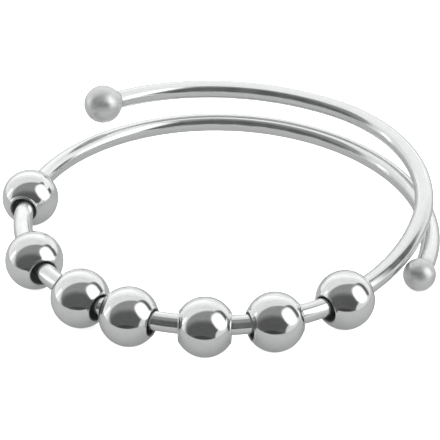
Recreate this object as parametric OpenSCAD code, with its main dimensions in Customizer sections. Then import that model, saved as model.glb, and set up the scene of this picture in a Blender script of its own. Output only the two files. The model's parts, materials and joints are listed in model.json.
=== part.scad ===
// Open wire ring with seven loose beads, lying on its side on a table.
// The wire makes about one and a half turns: a level front stretch carries the beads,
// one end climbs over the other and stops behind, and the other end comes down to the table.
// Origin: on the ring's axis, at table height. +Z runs up along that axis, and -Y is the beaded front.

/* [Ring] */
// Clear width inside the wire along the front stretch
inner_d = 19.1; // [18:0.1:21]
// Thickness of the round wire
wire_d = 1; // [0.8:0.01:1.1]
// Air between the two strands where one climbs over the other
strand_gap = 0.15; // [0.1:0.05:0.5]

/* [End balls] */
// Diameter of the ball on the raised end
high_ball_d = 2.1; // [1.4:0.1:2.6]
// Diameter of the ball on the low end, which touches the table
low_ball_d = 1.7; // [1.3:0.1:2.2]
// Air between the low ball and the strand that climbs past it
ball_gap = 0.06; // [0.05:0.01:0.15]

/* [Beads] */
// Outside diameter of a bead
bead_d = 3; // [2.7:0.05:3.3]
// Room between the wire and the lip of a bead, on each side
bead_clear = 0.17; // [0.15:0.01:0.3]
// Thickness of the rolled lip round each mouth of the bore
lip_d = 0.14; // [0.12:0.02:0.3]
// How far the lip stands out from the ball
lip_proud = 0.015; // [0.01:0.005:0.04]
// How much wider than the lips the bore is inside, on each side
bore_relief = 0.05; // [0.03:0.01:0.1]
// Shortest run of bare wire that each bead keeps for itself
bead_play = 0.2; // [0.15:0.05:0.4]

/* [Hidden] */

// Facets of the round shapes in the preview
$fn = 96;

// Radius of the front stretch, to the middle of the wire
ring_r = (inner_d + wire_d) / 2;

// The front stretch: where it starts, in degrees about +Z from +X, and how far it sweeps
FRONT_START = -200;
FRONT_SWEEP = 159;

// The climbing end, bend by bend. Columns: bend radius as a share of ring_r, sweep in degrees
CLIMB_BENDS = [[1.5, 24], [0.9, 76], [1.1, 72]];
// What is left of the climb after the crossing, and the last lift before the ball, in degrees
CLIMB_AFTER = 2;
CLIMB_LAST = 9;
// How far inside the low strand the climbing one lies where they cross, as a share of ring_r
CROSS_INSIDE = 0.045;

// The falling end is one bend. Its sweep in degrees
FALL_SWEEP = 183;

// Spare wire before each bead, as a share of the front stretch that the beads leave free
BEAD_GAPS = [0, 0.425, 0.185, 0.015, 0.13, 0.08, 0.15];

// A bend starts this many degrees back, inside the end of the one before it,
// and is this much thinner, so that the lap lies wholly inside
LAP = 0.3;
LAP_STEP = 0.004;

// Lips and bore of a bead. Above a lip's middle the ball is cut back to its crown, where the lip stands
// furthest out
lip_r = lip_d / 2;
lip_x = wire_d / 2 + bead_clear + lip_r;
lip_out = bead_d / 2 - lip_r + lip_proud;
lip_z = sqrt(pow(lip_out, 2) - pow(lip_x, 2));
lip_crown_x = lip_x * bead_d / 2 / lip_out;
bead_len = 2 * (lip_z + lip_r);
bore_d = wire_d + 2 * (bead_clear + bore_relief);

// The beads hang on the wire by half of their play, and stand on the table
bead_z = bead_d / 2;
wire_z = bead_z + bead_clear / 2;

// The climbing end's bends in millimetres and degrees, and the twist that lifts it over the low strand,
// one wire and the gap away from it
climb_bends = [for (bend = CLIMB_BENDS) [bend[0] * ring_r, bend[1]]];
climb_r = climb_bends[0][0];
cross_lift = sqrt(pow(wire_d + strand_gap, 2) - pow(CROSS_INSIDE * ring_r, 2));
climb_turn = asin((low_ball_d / 2 + cross_lift - wire_z) / (climb_r * (1 - cos(climb_bends[0][1]))));
climb_twists = [climb_turn, CLIMB_AFTER - climb_turn, CLIMB_LAST];

// Where the low ball lies, seen from above. It is this many degrees past the end of the front stretch,
// beside the first climbing bend, whose middle is off the ring's axis, and clear of it by ball_gap.
// beside_rise is how far the strand has climbed there, and beside is the level distance between the two
past_front = 360 - FRONT_SWEEP - FALL_SWEEP;
climb_off = climb_r - ring_r;
beside_rise = climb_r * (1 - cos(asin(ring_r * sin(past_front) / climb_r))) * sin(climb_turn);
beside = sqrt(pow((low_ball_d + wire_d) / 2 + ball_gap, 2) - pow(wire_z + beside_rise - low_ball_d / 2, 2));
ball_out = sqrt(pow(climb_r + beside, 2) - pow(climb_off * sin(past_front), 2)) - climb_off * cos(past_front);

// The bend that ends there, and the twist that brings the low ball down to the table
fall_r = (ring_r + ball_out) / 2;
fall_turn = asin((wire_z - low_ball_d / 2) / (fall_r * (1 - cos(FALL_SWEEP))));

// Beads along the front stretch
bead_slot = bead_len + bead_play;
spare = ring_r * FRONT_SWEEP * PI / 180 - len(BEAD_GAPS) * bead_slot;

function total(list, last, i = 0) = i > last ? 0 : list[i] + total(list, last, i + 1);
function bead_way(i) = total(BEAD_GAPS, i) * spare + (i + 0.5) * bead_slot;
function bead_angle(i) = FRONT_START + bead_way(i) / ring_r * 180 / PI;

// One bend of wire in the XY plane, from the +X side, turning towards +Y
module bend(radius, sweep, back, thinner) {
    rotate_extrude(start = -back, angle = sweep + back)
        translate([radius, 0])
            circle(d = wire_d - thinner, $fn = 48);
}

// The bends of a free end, each twisted about the wire and joined on to the last, with a ball at the tip.
// Columns of bends: radius and sweep. The wire starts at the origin towards +Y and bends towards -X.
// A positive twist lifts it.
module free_end(bends, twists, ball_d, i = 0) {
    if (i == len(bends))
        sphere(d = ball_d);
    else
        rotate([0, twists[i], 0])
            translate([-bends[i][0], 0, 0]) {
                bend(bends[i][0], bends[i][1], LAP, (i + 1) * LAP_STEP);
                rotate([0, 0, bends[i][1]])
                    translate([bends[i][0], 0, 0])
                        free_end(bends, twists, ball_d, i + 1);
            }
}

module band() {
    color("silver")
        translate([0, 0, wire_z]) {
            rotate([0, 0, FRONT_START])
                bend(ring_r, FRONT_SWEEP, 0, 0);
            rotate([0, 0, FRONT_START + FRONT_SWEEP])
                translate([ring_r, 0, 0])
                    free_end(climb_bends, climb_twists, high_ball_d);
            rotate([0, 0, FRONT_START])
                translate([ring_r, 0, 0])
                    mirror([0, 1, 0])
                        free_end([[fall_r, FALL_SWEEP]], [-fall_turn], low_ball_d);
        }
}

// A drilled ball with its bore along Z and a rolled lip round each mouth
module bead_shape() {
    difference() {
        sphere(d = bead_d);
        cylinder(d = bore_d, h = 2 * bead_d, center = true);
        for (side = [-1, 1])
            translate([0, 0, side * (lip_z + bead_d / 2)])
                cylinder(r = lip_crown_x, h = bead_d, center = true);
    }
    for (side = [-1, 1])
        rotate_extrude()
            translate([lip_x, side * lip_z])
                circle(d = lip_d, $fn = 48);
}

module bead(i) {
    color("gainsboro")
        rotate([0, 0, bead_angle(i)])
            translate([ring_r, 0, bead_z])
                rotate([90, 0, 0])
                    bead_shape();
}

band();
for (i = [0 : len(BEAD_GAPS) - 1])
    bead(i);
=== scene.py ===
"""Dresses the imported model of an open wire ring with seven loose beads, and lights it for a picture."""

import json
import math

import bpy
from mathutils import Matrix, Vector


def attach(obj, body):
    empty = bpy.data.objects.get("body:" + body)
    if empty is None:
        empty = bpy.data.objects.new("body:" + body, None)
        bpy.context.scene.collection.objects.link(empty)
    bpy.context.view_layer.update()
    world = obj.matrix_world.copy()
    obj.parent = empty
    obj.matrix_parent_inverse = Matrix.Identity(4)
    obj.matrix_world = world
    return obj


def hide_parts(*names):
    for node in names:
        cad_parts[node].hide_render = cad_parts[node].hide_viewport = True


bl_info = {
    "name": "Wire ring with loose beads",
    "version": (1, 0, 0),
    "blender": (4, 5, 0),
    "location": "3D View > Sidebar > Ring",
    "description": "Sweeps the ring's wire, turns its beads, polishes both and sets the stage",
    "category": "Object",
}

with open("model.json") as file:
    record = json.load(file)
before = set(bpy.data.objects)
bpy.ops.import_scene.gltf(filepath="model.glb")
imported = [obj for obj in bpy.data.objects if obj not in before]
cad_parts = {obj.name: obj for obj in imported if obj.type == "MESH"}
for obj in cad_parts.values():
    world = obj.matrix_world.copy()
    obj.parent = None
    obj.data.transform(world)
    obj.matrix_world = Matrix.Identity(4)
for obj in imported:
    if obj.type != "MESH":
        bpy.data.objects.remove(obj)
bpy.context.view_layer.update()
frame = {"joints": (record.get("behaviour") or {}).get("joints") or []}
MM = 0.001

# The beads hang on the wire where their hinges are, so the joints give the ring's radius and height
BEAD_JOINTS = [joint for joint in frame["joints"] if joint["child"].startswith("bead_")]
RING_R = Vector(BEAD_JOINTS[0]["pos_m"]).xy.length
BEAD_Z = BEAD_JOINTS[0]["pos_m"][2]

# The front stretch: where it starts, in degrees about +Z from +X, and how far it sweeps
FRONT_START = -200
FRONT_SWEEP = 159
# The climbing end, bend by bend. Columns: bend radius as a share of the ring's, sweep in degrees
CLIMB_BENDS = [(1.5, 24), (0.9, 76), (1.1, 72)]
# What is left of the climb after the crossing, and the last lift before the ball, in degrees
CLIMB_AFTER = 2
CLIMB_LAST = 9
# How far inside the low strand the climbing one lies where they cross, as a share of the ring's radius
CROSS_INSIDE = 0.045
# The falling end is one bend. Its sweep in degrees
FALL_SWEEP = 183

# Spacing of the wire's rings in degrees of bend, and of a ball's rings in degrees round the ball
WIRE_STEP = 1.5
BALL_STEP = 6
# A ball's neck has this many rings, and they end at this share of its radius before its middle
NECK_STEPS = 10
NECK_END = 0.8
# Spacing of the points round a bead and round its lips, in degrees
BEAD_STEP = 2
LIP_STEP = 10
# Sides of the round wire, of a bead and of a disc of the stage
WIRE_SIDES = 64
BEAD_SIDES = 128
DISC_SIDES = 96
# Points nearer than this are one
SAME_POINT = 0.0001 * MM

# Where a ball's dull polish sets in and where it is full, from its tip, in shares of its radius
BALL_POLISH = (2.15, 1.85)
# Scales of the soft dents and of the dull patches, per metre
DENT_SCALE = 700.0
PATCH_SCALE = 1500.0
# Scales of the wire's lines, per metre along it and per radius across it
LINES_ALONG = 900.0
LINES_ACROSS = 9.0
# Scales and turn of a bead's polishing lines, per metre along and across them, and in radians
BEAD_LINES = (3000.0, 14000.0, 14000.0)
BEAD_LINES_TURN = (0.4, 0.9, 0.2)
# How far the noise has to rise to make a patch dull, a line a streak and a patch hazy: from none to full
DULL_FROM = (0.35, 0.7)
STREAK_FROM = (0.45, 0.65)
HAZE_FROM = (0.4, 0.75)
# Roughness of the best and of the dullest patches, as a share of the metal's own
DULL_SHARES = (0.8, 1.3)
# How much of the clean colour worn metal keeps
WORN_WIRE = 0.9
WORN_BALL = 0.86
WORN_BEAD = 0.88
# The painted shade in the creases of the balls' necks: its grey, and how much of it shows at most
NECK_SHADE_GREY = 0.12
NECK_SHADE_SHARE = 0.7

# What the polished metal mirrors, painted on a dome far away, in the order of painting. The places are given
# as they show on the face of a front bead, in shares of its radius: to the right and up from its middle.
# A patch is an oval at roundness 2 and squarer above that.
# Columns: right, up, half width, half height, tilt in degrees, roundness, soft edge, brightness
DOME_PATCHES = {
    "white walls": (0, 0, 0.89, 0.89, 0, 2, 0.05, 1.15),
    "pale ceiling": (0, 0.2, 0.85, 0.55, 0, 2, 0.35, 0.8),
    "slat": (-0.7, 0.16, 0.03, 0.17, -35, 2, 0.5, 1.8),
    "screen": (0.04, 0.065, 0.66, 0.455, 8, 2, 0.12, 0.26),
    "dark of the screen": (-0.06, -0.27, 0.6, 0.47, 0, 2.2, 0.45, 0.075),
    "edge of the table": (-0.13, -0.47, 0.45, 0.18, 0, 2, 0.2, 0.02),
    "frame of the window": (0.495, 0.215, 0.245, 0.34, 34, 2.5, 0.15, 0.1),
    "gap beside the screen": (0.58, -0.13, 0.34, 0.14, 50, 2, 0.3, 0.72),
    "window": (0.455, 0.18, 0.18, 0.28, 34, 2.5, 0.8, 1.8),
}
# Elevation of the camera as a front bead sees it, in degrees
FACE_TILT = 34

# The floor's radius, and how far it lies below the ring so that the two don't share a plane
FLOOR_R = 3000 * MM
FLOOR_DROP = 0.02 * MM
# Roughness of the floor and of the cards
STAGE_ROUGHNESS = 0.9


class WireSizes(bpy.types.PropertyGroup):
    """The wire and the balls on its ends."""

    wire_d: bpy.props.FloatProperty(
        name="Wire", description="Thickness of the round wire", default=1 * MM, min=0, unit="LENGTH"
    )
    strand_gap: bpy.props.FloatProperty(
        name="Strand gap", description="Air between the strands where they cross",
        default=0.15 * MM, unit="LENGTH"
    )
    high_ball_d: bpy.props.FloatProperty(
        name="High ball", description="Diameter of the ball on the raised end",
        default=2.1 * MM, unit="LENGTH"
    )
    low_ball_d: bpy.props.FloatProperty(
        name="Low ball", description="Diameter of the ball on the low end", default=1.7 * MM, unit="LENGTH"
    )
    ball_gap: bpy.props.FloatProperty(
        name="Ball gap", description="Air between the low ball and the wire",
        default=0.06 * MM, unit="LENGTH"
    )
    neck_blend: bpy.props.FloatProperty(
        name="Neck", description="Width of the fillet where the wire enters a ball",
        default=0.05 * MM, unit="LENGTH"
    )
    # The neck crease is darkened with painted shade over this width, each way from the crease
    crease_width: bpy.props.FloatProperty(
        name="Crease", description="How far the tarnish in a neck spreads, each way",
        default=0.09 * MM, unit="LENGTH"
    )


class BeadSizes(bpy.types.PropertyGroup):
    """A drilled bead."""

    bead_d: bpy.props.FloatProperty(
        name="Bead", description="Outside diameter of a bead", default=2 * BEAD_Z, min=0, unit="LENGTH"
    )
    bead_clear: bpy.props.FloatProperty(
        name="Play", description="Room between the wire and the lip, on each side",
        default=0.17 * MM, unit="LENGTH"
    )
    lip_d: bpy.props.FloatProperty(
        name="Lip", description="Thickness of the rolled lip", default=0.14 * MM, unit="LENGTH"
    )
    lip_proud: bpy.props.FloatProperty(
        name="Lip height", description="How far the lip stands out from the ball",
        default=0.015 * MM, unit="LENGTH"
    )
    bore_relief: bpy.props.FloatProperty(
        name="Relief", description="How much wider the bore is inside, on each side",
        default=0.05 * MM, unit="LENGTH"
    )


class SilverFinish(bpy.types.PropertyGroup):
    """The polished metal of the wire and the beads."""

    wire_colour: bpy.props.FloatVectorProperty(
        name="Wire colour", description="Colour of the wire's metal",
        default=(0.835, 0.85, 0.845), subtype="COLOR"
    )
    ball_colour: bpy.props.FloatVectorProperty(
        name="Ball colour", description="Colour of the melted end balls",
        default=(0.59, 0.6, 0.595), subtype="COLOR"
    )
    bead_colour: bpy.props.FloatVectorProperty(
        name="Bead colour", description="Colour of the beads' metal",
        default=(0.88, 0.9, 0.89), subtype="COLOR"
    )
    # Painted shade inside the bores: a darker grey that stands for the shade in the recess
    bore_shade_colour: bpy.props.FloatVectorProperty(
        name="Bore colour", description="Painted shade inside the bores",
        default=(0.26, 0.26, 0.26), subtype="COLOR"
    )
    wire_roughness: bpy.props.FloatProperty(
        name="Wire roughness", description="Blur of the wire's polish",
        default=0.13, min=0, max=1, subtype="FACTOR"
    )
    bead_roughness: bpy.props.FloatProperty(
        name="Bead roughness", description="Blur of the beads' polish",
        default=0.09, min=0, max=1, subtype="FACTOR"
    )
    ball_roughness: bpy.props.FloatProperty(
        name="Ball roughness", description="Blur of the melted end balls",
        default=0.36, min=0, max=1, subtype="FACTOR"
    )
    bore_roughness: bpy.props.FloatProperty(
        name="Bore roughness", description="Blur of the drilled bores",
        default=0.6, min=0, max=1, subtype="FACTOR"
    )
    dent_depth: bpy.props.FloatProperty(
        name="Dents", description="Depth of the soft hollows left by handling",
        default=0.002 * MM, unit="LENGTH"
    )
    scratch_depth: bpy.props.FloatProperty(
        name="Scratches", description="Depth of the fine polishing lines",
        default=0.0004 * MM, unit="LENGTH"
    )


class StageSettings(bpy.types.PropertyGroup):
    """The floor, the light, the cards that only the metal mirrors, and the camera."""

    floor_colour: bpy.props.FloatVectorProperty(
        name="Floor", description="Colour of the plain floor", default=(0.92, 0.92, 0.92), subtype="COLOR"
    )
    floor_light: bpy.props.FloatProperty(
        name="Floor light", description="Brightness of the light on the floor", default=3.4
    )
    ground_grey: bpy.props.FloatProperty(
        name="Ground card", description="Grey of the round card that the metal mirrors below", default=0.16
    )
    ground_r: bpy.props.FloatProperty(
        name="Ground radius", description="Radius of the round card", default=40 * MM, unit="LENGTH"
    )
    ground_back: bpy.props.FloatProperty(
        name="Ground offset", description="How far the card's middle lies behind the ring's",
        default=19 * MM, unit="LENGTH"
    )
    ground_drop: bpy.props.FloatProperty(
        name="Ground drop", description="How far the card lies below the floor",
        default=0.8 * MM, unit="LENGTH"
    )
    roof_grey: bpy.props.FloatProperty(
        name="Roof card", description="Grey of the round card that the back strands mirror above",
        default=0.3
    )
    roof_r: bpy.props.FloatProperty(
        name="Roof radius", description="Radius of that card", default=10 * MM, unit="LENGTH"
    )
    roof_right: bpy.props.FloatProperty(
        name="Roof side offset", description="How far its middle lies right of the ring's", default=8 * MM,
        unit="LENGTH"
    )
    roof_back: bpy.props.FloatProperty(
        name="Roof offset", description="How far its middle lies behind the ring's",
        default=15 * MM, unit="LENGTH"
    )
    roof_height: bpy.props.FloatProperty(
        name="Roof height", description="How far it hangs above the floor", default=12 * MM, unit="LENGTH"
    )
    back_light: bpy.props.FloatProperty(
        name="Back light", description="Brightness low behind the ring, which outlines the metal",
        default=0.76
    )
    elevation: bpy.props.FloatProperty(
        name="Elevation", description="Camera's angle above the floor",
        default=math.radians(32), subtype="ANGLE"
    )
    distance: bpy.props.FloatProperty(
        name="Distance", description="From the camera to the point it looks at",
        default=120 * MM, unit="LENGTH"
    )
    aim: bpy.props.FloatVectorProperty(
        name="Aim", description="The point the camera looks at", default=(0.28 * MM, -0.19 * MM, 1.5 * MM),
        subtype="TRANSLATION", precision=5
    )
    lens: bpy.props.FloatProperty(
        name="Lens", description="Focal length in millimetres on a 36 mm sensor", default=187.1, min=1
    )


def sine(degrees):
    """Sine of an angle in degrees."""
    return math.sin(math.radians(degrees))


def cosine(degrees):
    """Cosine of an angle in degrees."""
    return math.cos(math.radians(degrees))


def new_tree(name, sockets):
    """A tree of geometry nodes with the named input sockets, and its interface items by name."""
    tree = bpy.data.node_groups.new(name, "GeometryNodeTree")
    face = tree.interface
    face.new_socket("Geometry", in_out="OUTPUT", socket_type="NodeSocketGeometry")
    items = {label: face.new_socket(label, in_out="INPUT", socket_type=kind) for label, kind in sockets}
    return tree, items


def add(tree, kind, inputs=None, **settings):
    """A new node with its settings, and its inputs set to values or linked to sockets."""
    node = tree.nodes.new(kind)
    for key, value in settings.items():
        setattr(node, key, value)
    for key, value in (inputs or {}).items():
        if isinstance(value, bpy.types.NodeSocket):
            tree.links.new(value, node.inputs[key])
        else:
            node.inputs[key].default_value = value
    return node


def calc(tree, operation, *terms):
    """The result of a Math node on numbers or sockets."""
    return add(tree, "ShaderNodeMath", dict(enumerate(terms)), operation=operation).outputs[0]


def squared(tree, value):
    """The square of a number or a socket."""
    return calc(tree, "MULTIPLY", value, value)


def smooth_step(tree, value, low, high):
    """0 at low and beyond, 1 at high and beyond, and an S-shaped rise between them. Either may be larger."""
    inputs = {"Value": value, "From Min": low, "From Max": high, "To Min": 0.0, "To Max": 1.0}
    return add(tree, "ShaderNodeMapRange", inputs, interpolation_type="SMOOTHSTEP").outputs["Result"]


def bake(obj, tree, values, name):
    """Runs a geometry tree on obj and keeps its result as a plain mesh object at the origin."""
    modifier = obj.modifiers.new(tree.name, "NODES")
    modifier.node_group = tree
    for item, value in values.items():
        modifier[item.identifier] = value
    bpy.context.view_layer.update()
    evaluated = obj.evaluated_get(bpy.context.evaluated_depsgraph_get())
    mesh = bpy.data.meshes.new_from_object(evaluated)
    mesh.name = name
    obj.modifiers.remove(modifier)
    if not mesh.polygons:
        raise RuntimeError(f"{name} came out empty")
    made = bpy.data.objects.new(name, mesh)
    bpy.context.scene.collection.objects.link(made)
    return made


def line_object(name, points, closed=False):
    """A curve object through the points, with straight pieces between them."""
    curve = bpy.data.curves.new(name, "CURVE")
    curve.dimensions = "3D"
    spline = curve.splines.new("POLY")
    spline.points.add(len(points) - 1)
    spline.points.foreach_set("co", [value for point in points for value in (*point, 1)])
    spline.use_cyclic_u = closed
    obj = bpy.data.objects.new(name, curve)
    bpy.context.scene.collection.objects.link(obj)
    return obj


def turned(degrees, axis):
    """A turn about an axis."""
    return Matrix.Rotation(math.radians(degrees), 4, axis)


def bend(start, radius, sweep):
    """Points of a bend that starts at a matrix's origin towards its +Y and turns towards -X, and its end."""
    middle = start @ Matrix.Translation((-radius, 0, 0))
    steps = math.ceil(sweep / WIRE_STEP)
    out = Matrix.Translation((radius, 0, 0))
    arms = [middle @ turned(sweep * i / steps, "Z") @ out for i in range(steps + 1)]
    return [arm.translation for arm in arms], arms[-1]


def free_end(start, bends, twists):
    """Points of the bends of a free end, each twisted about the wire and joined on to the last."""
    points = []
    for (radius, sweep), twist in zip(bends, twists):
        row, start = bend(start @ turned(twist, "Y"), radius, sweep)
        points += row if not points else row[1:]
    return points


def with_ball(points, ball_r, wire_r, blend):
    """The points, run on straight through the ball's middle, which is the last of them, to its tip."""
    middle = points[-1]
    reach = math.sqrt(ball_r**2 - wire_r**2) + 2 * blend
    kept = [p for p in points if (p - middle).length > reach]
    out = (middle - kept[-1]).normalized()
    stop = (middle - kept[-1]).length
    neck = [-stop + (stop - ball_r * NECK_END) * i / NECK_STEPS for i in range(1, NECK_STEPS)]
    first = math.ceil(math.degrees(math.acos(NECK_END)) / BALL_STEP) * BALL_STEP
    round_ball = [-ball_r * cosine(angle) for angle in range(first, 181, BALL_STEP)]
    return kept + [middle + out * u for u in neck + round_ball]


def wire_path(sizes):
    """The middle of the wire from the low ball's tip to the high ball's, after the model's own rules."""
    wire_d, low_d = sizes.wire_d, sizes.low_ball_d
    wire_z = BEAD_Z + bpy.context.scene.bead_sizes.bead_clear / 2
    climb_bends = [(share * RING_R, sweep) for share, sweep in CLIMB_BENDS]
    climb_r, climb_sweep = climb_bends[0]
    cross_lift = math.sqrt((wire_d + sizes.strand_gap) ** 2 - (CROSS_INSIDE * RING_R) ** 2)
    lift_share = (low_d / 2 + cross_lift - wire_z) / (climb_r * (1 - cosine(climb_sweep)))
    climb_turn = math.degrees(math.asin(lift_share))

    past_front = 360 - FRONT_SWEEP - FALL_SWEEP
    climb_off = climb_r - RING_R
    beside_sweep = math.degrees(math.asin(RING_R * sine(past_front) / climb_r))
    beside_rise = climb_r * (1 - cosine(beside_sweep)) * lift_share
    apart = (low_d + wire_d) / 2 + sizes.ball_gap
    beside = math.sqrt(apart**2 - (wire_z + beside_rise - low_d / 2) ** 2)
    ball_out = math.sqrt((climb_r + beside) ** 2 - (climb_off * sine(past_front)) ** 2)
    ball_out -= climb_off * cosine(past_front)
    fall_r = (RING_R + ball_out) / 2
    fall_turn = math.degrees(math.asin((wire_z - low_d / 2) / (fall_r * (1 - cosine(FALL_SWEEP)))))

    lifted = Matrix.Translation((0, 0, wire_z))
    out_to_ring = Matrix.Translation((RING_R, 0, 0))
    start = lifted @ turned(FRONT_START, "Z") @ out_to_ring
    front, end = bend(start, RING_R, FRONT_SWEEP)
    climb = free_end(end, climb_bends, [climb_turn, CLIMB_AFTER - climb_turn, CLIMB_LAST])
    mirrored = start @ Matrix.Scale(-1, 4, (0, 1, 0))
    fall = free_end(mirrored, [(fall_r, FALL_SWEEP)], [-fall_turn])
    fall = with_ball(fall, low_d / 2, wire_d / 2, sizes.neck_blend)
    climb = with_ball(climb, sizes.high_ball_d / 2, wire_d / 2, sizes.neck_blend)
    return fall[:0:-1] + front + climb[1:]


def ball_swell(tree, way, radius):
    """Radius of a ball at a distance from its tip, and whether that is nearer than its middle."""
    chord = calc(tree, "MULTIPLY", way, calc(tree, "SUBTRACT", calc(tree, "MULTIPLY", radius, 2.0), way))
    swell = calc(tree, "SQRT", calc(tree, "MAXIMUM", chord, 0.0))
    return swell, calc(tree, "LESS_THAN", way, radius)


def wire_tree():
    """Geometry nodes that sweep a round wire along a curve and end it in two balls with soft necks."""
    sockets = [
        ("Path", "NodeSocketGeometry"),
        ("Wire Radius", "NodeSocketFloat"),
        ("Low Ball Radius", "NodeSocketFloat"),
        ("High Ball Radius", "NodeSocketFloat"),
        ("Neck Blend", "NodeSocketFloat"),
        ("Crease Width", "NodeSocketFloat"),
        ("Sides", "NodeSocketInt"),
        ("Material", "NodeSocketMaterial"),
    ]
    tree, items = new_tree("Wire with ball ends", sockets)
    given = tree.nodes.new("NodeGroupInput").outputs
    path, wire_r, blend = given["Path"], given["Wire Radius"], given["Neck Blend"]
    way = tree.nodes.new("GeometryNodeSplineParameter").outputs["Length"]
    length = add(tree, "GeometryNodeCurveLength", {"Curve": path}).outputs["Length"]
    way_back = calc(tree, "SUBTRACT", length, way)
    low, in_low = ball_swell(tree, way, given["Low Ball Radius"])
    high, in_high = ball_swell(tree, way_back, given["High Ball Radius"])
    radius = calc(tree, "SMOOTH_MAX", calc(tree, "SMOOTH_MAX", wire_r, low, blend), high, blend)
    for inside, swell in ((in_low, low), (in_high, high)):
        inputs = {"Switch": inside, "False": radius, "True": swell}
        radius = add(tree, "GeometryNodeSwitch", inputs, input_type="FLOAT").outputs["Output"]

    near, creases = [], []
    for from_tip, ball_r in ((way, given["Low Ball Radius"]), (way_back, given["High Ball Radius"])):
        near.append(smooth_step(tree, calc(tree, "DIVIDE", from_tip, ball_r), *BALL_POLISH))
        half_chord = calc(tree, "SQRT", calc(tree, "SUBTRACT", squared(tree, ball_r), squared(tree, wire_r)))
        past_neck = calc(tree, "SUBTRACT", from_tip, calc(tree, "ADD", ball_r, half_chord))
        creases.append(smooth_step(tree, calc(tree, "ABSOLUTE", past_neck), given["Crease Width"], 0.0))

    ring = add(tree, "GeometryNodeCurvePrimitiveCircle", {"Resolution": given["Sides"], "Radius": 1.0})
    place = tree.nodes.new("GeometryNodeInputPosition").outputs["Position"]
    inputs = {"Geometry": ring.outputs["Curve"], "Name": "round", "Value": place}
    ring = add(tree, "GeometryNodeStoreNamedAttribute", inputs, data_type="FLOAT_VECTOR")
    on_ball = calc(tree, "MAXIMUM", *near)
    crease = calc(tree, "MAXIMUM", *creases)
    for label, value in (("along", way), ("ball", on_ball), ("crease", crease)):
        inputs = {"Geometry": path, "Name": label, "Value": value}
        path = add(tree, "GeometryNodeStoreNamedAttribute", inputs, data_type="FLOAT").outputs[0]
    inputs = {"Curve": path, "Profile Curve": ring.outputs[0], "Scale": radius}
    mesh = add(tree, "GeometryNodeCurveToMesh", inputs)
    mesh = add(tree, "GeometryNodeMergeByDistance", {"Geometry": mesh.outputs[0], "Distance": SAME_POINT})
    mesh = add(tree, "GeometryNodeSetShadeSmooth", {"Geometry": mesh.outputs[0]})
    mesh = add(tree, "GeometryNodeRealizeInstances", {"Geometry": mesh.outputs[0]})
    mesh = add(tree, "GeometryNodeSetMaterial", {"Geometry": mesh.outputs[0], "Material": given["Material"]})
    add(tree, "NodeGroupOutput", {"Geometry": mesh.outputs[0]})
    return tree, items


def arc(middle, radius, first, last, step):
    """Points of an arc in a section, from one angle in degrees to another."""
    steps = max(2, math.ceil(abs(last - first) / step))
    angles = [first + (last - first) * i / steps for i in range(steps + 1)]
    return [Vector((middle[0] + radius * cosine(a), middle[1] + radius * sine(a))) for a in angles]


def bead_section(sizes, wire_d):
    """One half of a bead cut along its axis, as a closed outline, and the radii of its lips and its bore.

    X is out from the axis, Y is along it.
    """
    ball_r, lip_r = sizes.bead_d / 2, sizes.lip_d / 2
    lip_x = wire_d / 2 + sizes.bead_clear + lip_r
    lip_out = ball_r - lip_r + sizes.lip_proud
    lip_y = math.sqrt(lip_out**2 - lip_x**2)
    bore_r = wire_d / 2 + sizes.bead_clear + sizes.bore_relief
    toward = math.degrees(math.atan2(lip_y, lip_x))
    ball_meet = math.degrees(math.acos((ball_r**2 + lip_out**2 - lip_r**2) / (2 * ball_r * lip_out)))
    lip_meet = math.degrees(math.acos((lip_r**2 + lip_out**2 - ball_r**2) / (2 * lip_r * lip_out)))
    in_bore = 180 + math.degrees(math.acos((lip_x - bore_r) / lip_r))
    edge = toward - ball_meet
    ball = arc((0, 0), ball_r, -edge, edge, BEAD_STEP)
    lip = arc((lip_x, lip_y), lip_r, toward - 180 + lip_meet, in_bore, LIP_STEP)
    lower_lip = [Vector((p.x, -p.y)) for p in reversed(lip)]
    return ball + lip[1:] + lower_lip[:-1], lip_x, bore_r


def bead_tree():
    """Geometry nodes that turn a bead's section round its axis and put the bead on the wire."""
    sockets = [
        ("Section", "NodeSocketGeometry"),
        ("Middle Radius", "NodeSocketFloat"),
        ("Bore Radius", "NodeSocketFloat"),
        ("Sides", "NodeSocketInt"),
        ("Place", "NodeSocketVector"),
        ("Turn", "NodeSocketRotation"),
        ("Material", "NodeSocketMaterial"),
    ]
    tree, items = new_tree("Drilled bead", sockets)
    given = tree.nodes.new("NodeGroupInput").outputs
    place = tree.nodes.new("GeometryNodeInputPosition").outputs["Position"]
    from_lip = add(tree, "ShaderNodeSeparateXYZ", {0: place}).outputs["X"]
    from_axis = calc(tree, "ADD", from_lip, given["Middle Radius"])
    in_bore = smooth_step(tree, from_axis, given["Middle Radius"], given["Bore Radius"])
    inputs = {"Geometry": given["Section"], "Name": "bore", "Value": in_bore}
    section = add(tree, "GeometryNodeStoreNamedAttribute", inputs, data_type="FLOAT")
    inputs = {"Resolution": given["Sides"], "Radius": given["Middle Radius"]}
    circle = add(tree, "GeometryNodeCurvePrimitiveCircle", inputs)
    circle = add(tree, "GeometryNodeSetCurveNormal", {"Curve": circle.outputs["Curve"]}, mode="Z_UP")
    inputs = {"Curve": circle.outputs[0], "Profile Curve": section.outputs[0]}
    mesh = add(tree, "GeometryNodeCurveToMesh", inputs)
    inputs = {"Geometry": mesh.outputs[0], "Translation": given["Place"], "Rotation": given["Turn"]}
    mesh = add(tree, "GeometryNodeTransform", inputs)
    mesh = add(tree, "GeometryNodeSetShadeSmooth", {"Geometry": mesh.outputs[0]})
    mesh = add(tree, "GeometryNodeRealizeInstances", {"Geometry": mesh.outputs[0]})
    mesh = add(tree, "GeometryNodeSetMaterial", {"Geometry": mesh.outputs[0], "Material": given["Material"]})
    add(tree, "NodeGroupOutput", {"Geometry": mesh.outputs[0]})
    return tree, items


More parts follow.
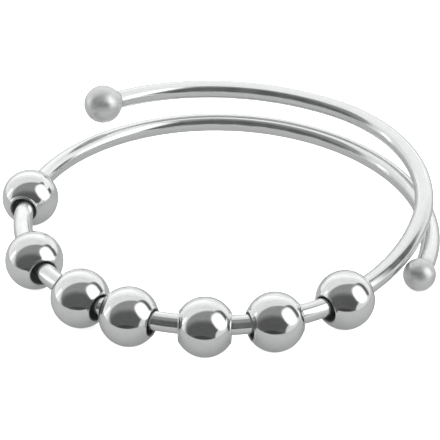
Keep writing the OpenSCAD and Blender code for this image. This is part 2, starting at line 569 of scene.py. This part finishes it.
def new_material(name, roughness):
    """A metal material, its node tree and its shader."""
    material = bpy.data.materials.new(name)
    material.use_nodes = True
    tree = material.node_tree
    shader = tree.nodes["Principled BSDF"]
    shader.inputs["Metallic"].default_value = 1.0
    shader.inputs["Roughness"].default_value = roughness
    return material, tree, shader


def uneven_polish(tree, shader, finish, roughness, place, line_place):
    """Soft dents, fine polishing lines and dull patches, about a roughness. Returns how worn they look."""
    dents = add(tree, "ShaderNodeTexNoise", {"Vector": place, "Scale": DENT_SCALE, "Detail": 1.0})
    inputs = {"Vector": line_place, "Scale": 1.0, "Detail": 3.0, "Roughness": 0.6}
    lines = add(tree, "ShaderNodeTexNoise", inputs)
    dull = add(tree, "ShaderNodeTexNoise", {"Vector": place, "Scale": PATCH_SCALE, "Detail": 4.0})
    bounds = dict(zip(("From Min", "From Max", "To Min", "To Max"), DULL_FROM + DULL_SHARES))
    share = add(tree, "ShaderNodeMapRange", {"Value": dull.outputs["Fac"]} | bounds).outputs["Result"]
    tree.links.new(calc(tree, "MULTIPLY", share, roughness), shader.inputs["Roughness"])
    inputs = {"Height": dents.outputs["Fac"], "Distance": finish.dent_depth, "Strength": 1.0}
    soft = add(tree, "ShaderNodeBump", inputs)
    inputs = {"Height": lines.outputs["Fac"], "Distance": finish.scratch_depth, "Strength": 1.0}
    fine = add(tree, "ShaderNodeBump", inputs | {"Normal": soft.outputs["Normal"]})
    tree.links.new(fine.outputs["Normal"], shader.inputs["Normal"])
    streaks = smooth_step(tree, lines.outputs["Fac"], *STREAK_FROM)
    haze = smooth_step(tree, dull.outputs["Fac"], *HAZE_FROM)
    return calc(tree, "MULTIPLY_ADD", streaks, 0.5, calc(tree, "MULTIPLY", haze, 0.5))


def darker(colour, share):
    """A colour that keeps a share of its brightness."""
    return [share * value for value in colour]


def tinted(tree, share, low, high):
    """A colour between two others."""
    mix = add(tree, "ShaderNodeMix", {"Factor": share}, data_type="RGBA")
    for key, colour in (("A", low), ("B", high)):
        socket = next(s for s in mix.inputs if s.name == key and s.type == "RGBA")
        if isinstance(colour, bpy.types.NodeSocket):
            tree.links.new(colour, socket)
        else:
            socket.default_value = (*colour, 1)
    return next(s for s in mix.outputs if s.type == "RGBA")


def wire_silver(finish):
    """Drawn silver wire: fine lines run along it."""
    material, tree, shader = new_material("wire_silver", finish.wire_roughness)
    place = add(tree, "ShaderNodeTexCoord").outputs["Object"]
    way = add(tree, "ShaderNodeAttribute", attribute_name="along").outputs["Fac"]
    ring = add(tree, "ShaderNodeAttribute", attribute_name="round").outputs["Vector"]
    ring = add(tree, "ShaderNodeSeparateXYZ", {0: ring})
    inputs = {"X": calc(tree, "MULTIPLY", way, LINES_ALONG)}
    for axis, ring_axis in (("Y", "X"), ("Z", "Y")):
        inputs[axis] = calc(tree, "MULTIPLY", ring.outputs[ring_axis], LINES_ACROSS)
    drawn = add(tree, "ShaderNodeCombineXYZ", inputs).outputs[0]
    on_ball = add(tree, "ShaderNodeAttribute", attribute_name="ball").outputs["Fac"]
    inputs = {"Factor": on_ball, "A": finish.wire_roughness, "B": finish.ball_roughness}
    roughness = add(tree, "ShaderNodeMix", inputs, data_type="FLOAT").outputs[0]
    wear = uneven_polish(tree, shader, finish, roughness, place, drawn)
    crease = add(tree, "ShaderNodeAttribute", attribute_name="crease").outputs["Fac"]
    wire_colour, ball_colour = tuple(finish.wire_colour), tuple(finish.ball_colour)
    clean = tinted(tree, on_ball, wire_colour, ball_colour)
    worn = tinted(tree, on_ball, darker(wire_colour, WORN_WIRE), darker(ball_colour, WORN_BALL))
    metal = tinted(tree, wear, clean, worn)
    # Painted shade: the metal is darkened towards grey in each neck's crease
    neck_shade = calc(tree, "MULTIPLY", crease, NECK_SHADE_SHARE)
    tree.links.new(tinted(tree, neck_shade, metal, [NECK_SHADE_GREY] * 3), shader.inputs["Base Color"])
    return material


def bead_silver(finish):
    """Mirror-polished silver, darkened inside the bore with painted shade."""
    material, tree, shader = new_material("bead_silver", finish.bead_roughness)
    place = add(tree, "ShaderNodeTexCoord").outputs["Object"]
    inputs = {"Vector": place, "Rotation": BEAD_LINES_TURN, "Scale": BEAD_LINES}
    brushed = add(tree, "ShaderNodeMapping", inputs).outputs["Vector"]
    bore = add(tree, "ShaderNodeAttribute", attribute_name="bore").outputs["Fac"]
    inputs = {"Factor": bore, "A": finish.bead_roughness, "B": finish.bore_roughness}
    roughness = add(tree, "ShaderNodeMix", inputs, data_type="FLOAT").outputs[0]
    wear = uneven_polish(tree, shader, finish, roughness, place, brushed)
    bead_colour = tuple(finish.bead_colour)
    metal = tinted(tree, wear, bead_colour, darker(bead_colour, WORN_BEAD))
    # Painted shade: the metal takes the darker bore grey inside the bore
    tree.links.new(tinted(tree, bore, metal, tuple(finish.bore_shade_colour)), shader.inputs["Base Color"])
    return material


class RING_OT_wire(bpy.types.Operator):
    """Sweep the wire and its end balls as one body of drawn silver"""

    bl_idname = "ring.wire"
    bl_label = "Make the wire"

    def execute(self, context):
        sizes = context.scene.wire_sizes
        tree, items = wire_tree()
        path = line_object("wire_path", wire_path(sizes))
        values = {
            items["Wire Radius"]: sizes.wire_d / 2,
            items["Low Ball Radius"]: sizes.low_ball_d / 2,
            items["High Ball Radius"]: sizes.high_ball_d / 2,
            items["Neck Blend"]: sizes.neck_blend,
            items["Crease Width"]: sizes.crease_width,
            items["Sides"]: WIRE_SIDES,
            items["Material"]: wire_silver(context.scene.silver_finish),
        }
        wire = bake(path, tree, values, "ring_wire")
        bpy.data.objects.remove(path)
        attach(wire, "band")
        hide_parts("band")
        return {"FINISHED"}


class RING_OT_beads(bpy.types.Operator):
    """Turn the drilled beads and put each on its hinge"""

    bl_idname = "ring.beads"
    bl_label = "Make the beads"

    def execute(self, context):
        scene = context.scene
        points, middle_r, bore_r = bead_section(scene.bead_sizes, scene.wire_sizes.wire_d)
        section = line_object("bead_section", [(p.x - middle_r, p.y, 0) for p in points], closed=True)
        tree, items = bead_tree()
        silver = bead_silver(scene.silver_finish)
        for joint in BEAD_JOINTS:
            turn = Vector((0, 0, 1)).rotation_difference(Vector(joint["axis"])).to_euler()
            values = {
                items["Middle Radius"]: middle_r,
                items["Bore Radius"]: bore_r,
                items["Sides"]: BEAD_SIDES,
                items["Place"]: tuple(joint["pos_m"]),
                items["Turn"]: tuple(turn),
                items["Material"]: silver,
            }
            bead = bake(section, tree, values, "polished_" + joint["child"])
            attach(bead, joint["child"])
            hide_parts(joint["child"])
        bpy.data.objects.remove(section)
        return {"FINISHED"}


def dull_material(name, colour):
    """A plain material without shine, for the stage."""
    material = bpy.data.materials.new(name)
    material.use_nodes = True
    shader = material.node_tree.nodes["Principled BSDF"]
    shader.inputs["Base Color"].default_value = (*colour, 1)
    shader.inputs["Roughness"].default_value = STAGE_ROUGHNESS
    shader.inputs["Specular IOR Level"].default_value = 0.0
    return material


def stage_disc(name, colour, radius, middle):
    """A flat disc of the stage."""
    angles = [360 * i / DISC_SIDES for i in range(DISC_SIDES)]
    rim = [Vector(middle) + radius * Vector((cosine(angle), sine(angle), 0)) for angle in angles]
    mesh = bpy.data.meshes.new(name)
    mesh.from_pydata(rim, [], [range(DISC_SIDES)])
    mesh.materials.append(dull_material(name, colour))
    disc = bpy.data.objects.new(name, mesh)
    bpy.context.scene.collection.objects.link(disc)
    return disc


def patch_mask(tree, right, up, row):
    """How much of a patch of the dome is seen in a direction."""
    middle_right, middle_up, half_width, half_height, tilt, roundness, soft = row
    right = calc(tree, "SUBTRACT", right, middle_right)
    up = calc(tree, "SUBTRACT", up, middle_up)
    away = []
    for right_share, up_share, half in (
        (cosine(tilt), sine(tilt), half_width),
        (-sine(tilt), cosine(tilt), half_height),
    ):
        from_up = calc(tree, "MULTIPLY", up, up_share / half)
        way = calc(tree, "MULTIPLY_ADD", right, right_share / half, from_up)
        away.append(calc(tree, "POWER", calc(tree, "ABSOLUTE", way), roundness))
    return smooth_step(tree, calc(tree, "ADD", *away), 1.0 + soft, 1.0 - soft)


def reach_towards(tree, vector, direction):
    """How far a vector reaches in a direction."""
    inputs = {0: vector, 1: direction}
    return add(tree, "ShaderNodeVectorMath", inputs, operation="DOT_PRODUCT").outputs["Value"]


def studio_world(settings):
    """White light all round, and a dome with a few dark and bright patches that only the metal mirrors."""
    world = bpy.data.worlds.new("studio")
    world.use_nodes = True
    tree = world.node_tree
    tree.nodes.clear()
    level_share, lift_share = cosine(FACE_TILT), sine(FACE_TILT)
    toward = add(tree, "ShaderNodeTexCoord").outputs["Generated"]
    inputs = {0: toward, 1: (0, -level_share, lift_share)}
    between = add(tree, "ShaderNodeVectorMath", inputs, operation="ADD").outputs[0]
    facing = add(tree, "ShaderNodeVectorMath", {0: between}, operation="NORMALIZE").outputs[0]
    right = reach_towards(tree, facing, (1, 0, 0))
    up = reach_towards(tree, facing, (0, lift_share, level_share))
    level = settings.back_light
    for *row, brightness in DOME_PATCHES.values():
        inputs = {"Factor": patch_mask(tree, right, up, row), "A": level, "B": brightness}
        level = add(tree, "ShaderNodeMix", inputs, data_type="FLOAT").outputs[0]
    mirrored = add(tree, "ShaderNodeLightPath").outputs["Is Glossy Ray"]
    inputs = {"Factor": mirrored, "A": settings.floor_light, "B": level}
    strength = add(tree, "ShaderNodeMix", inputs, data_type="FLOAT").outputs[0]
    shader = add(tree, "ShaderNodeBackground", {"Color": (1, 1, 1, 1), "Strength": strength})
    add(tree, "ShaderNodeOutputWorld", {"Surface": shader.outputs[0]})
    bpy.context.scene.world = world


def place_camera(scene, settings):
    """A camera in front of the ring, looking down at it."""
    camera = bpy.data.objects.new("camera", bpy.data.cameras.new("camera"))
    scene.collection.objects.link(camera)
    camera.data.sensor_width = 36
    camera.data.lens = settings.lens
    camera.data.clip_start = 1 * MM
    back = Vector((0, -math.cos(settings.elevation), math.sin(settings.elevation)))
    camera.location = Vector(settings.aim) + back * settings.distance
    camera.rotation_euler = back.to_track_quat("Z", "Y").to_euler()
    scene.camera = camera


class RING_OT_stage(bpy.types.Operator):
    """Lay the floor, light the studio and place the camera"""

    bl_idname = "ring.stage"
    bl_label = "Set the stage"

    def execute(self, context):
        settings = context.scene.stage_settings
        floor = stage_disc("floor", settings.floor_colour, FLOOR_R, (0, 0, -FLOOR_DROP))
        floor.visible_glossy = floor.visible_diffuse = floor.visible_shadow = False
        ground = (0, settings.ground_back, -settings.ground_drop)
        roof = (settings.roof_right, settings.roof_back, settings.roof_height)
        for name, grey, radius, middle in (
            ("ground_card", settings.ground_grey, settings.ground_r, ground),
            ("roof_card", settings.roof_grey, settings.roof_r, roof),
        ):
            card = stage_disc(name, [grey] * 3, radius, middle)
            card.visible_camera = card.visible_diffuse = card.visible_shadow = False
        studio_world(settings)
        place_camera(context.scene, settings)
        context.scene.view_settings.view_transform = "Standard"
        return {"FINISHED"}


class RING_PT_panel(bpy.types.Panel):
    """The ring's sizes, its finish and its steps"""

    bl_idname = "RING_PT_panel"
    bl_label = "Ring"
    bl_space_type = "VIEW_3D"
    bl_region_type = "UI"
    bl_category = "Ring"

    def draw(self, context):
        layout = self.layout
        for group in GROUPS:
            box = layout.box()
            settings = getattr(context.scene, group)
            for name in settings.bl_rna.properties.keys():
                if name not in {"rna_type", "name"}:
                    box.prop(settings, name)
        for operator in OPERATORS:
            layout.operator(operator.bl_idname)


GROUPS = {
    "wire_sizes": WireSizes,
    "bead_sizes": BeadSizes,
    "silver_finish": SilverFinish,
    "stage_settings": StageSettings,
}
OPERATORS = (RING_OT_wire, RING_OT_beads, RING_OT_stage)


def register():
    for cls in (*GROUPS.values(), *OPERATORS, RING_PT_panel):
        bpy.utils.register_class(cls)
    for name, cls in GROUPS.items():
        setattr(bpy.types.Scene, name, bpy.props.PointerProperty(type=cls))


def unregister():
    for name in GROUPS:
        delattr(bpy.types.Scene, name)
    for cls in (RING_PT_panel, *OPERATORS, *GROUPS.values()):
        bpy.utils.unregister_class(cls)


def main():
    """Makes the ring and its stage."""
    register()
    bpy.ops.ring.wire()
    bpy.ops.ring.beads()
    bpy.ops.ring.stage()


if __name__ == "__main__":
    main()
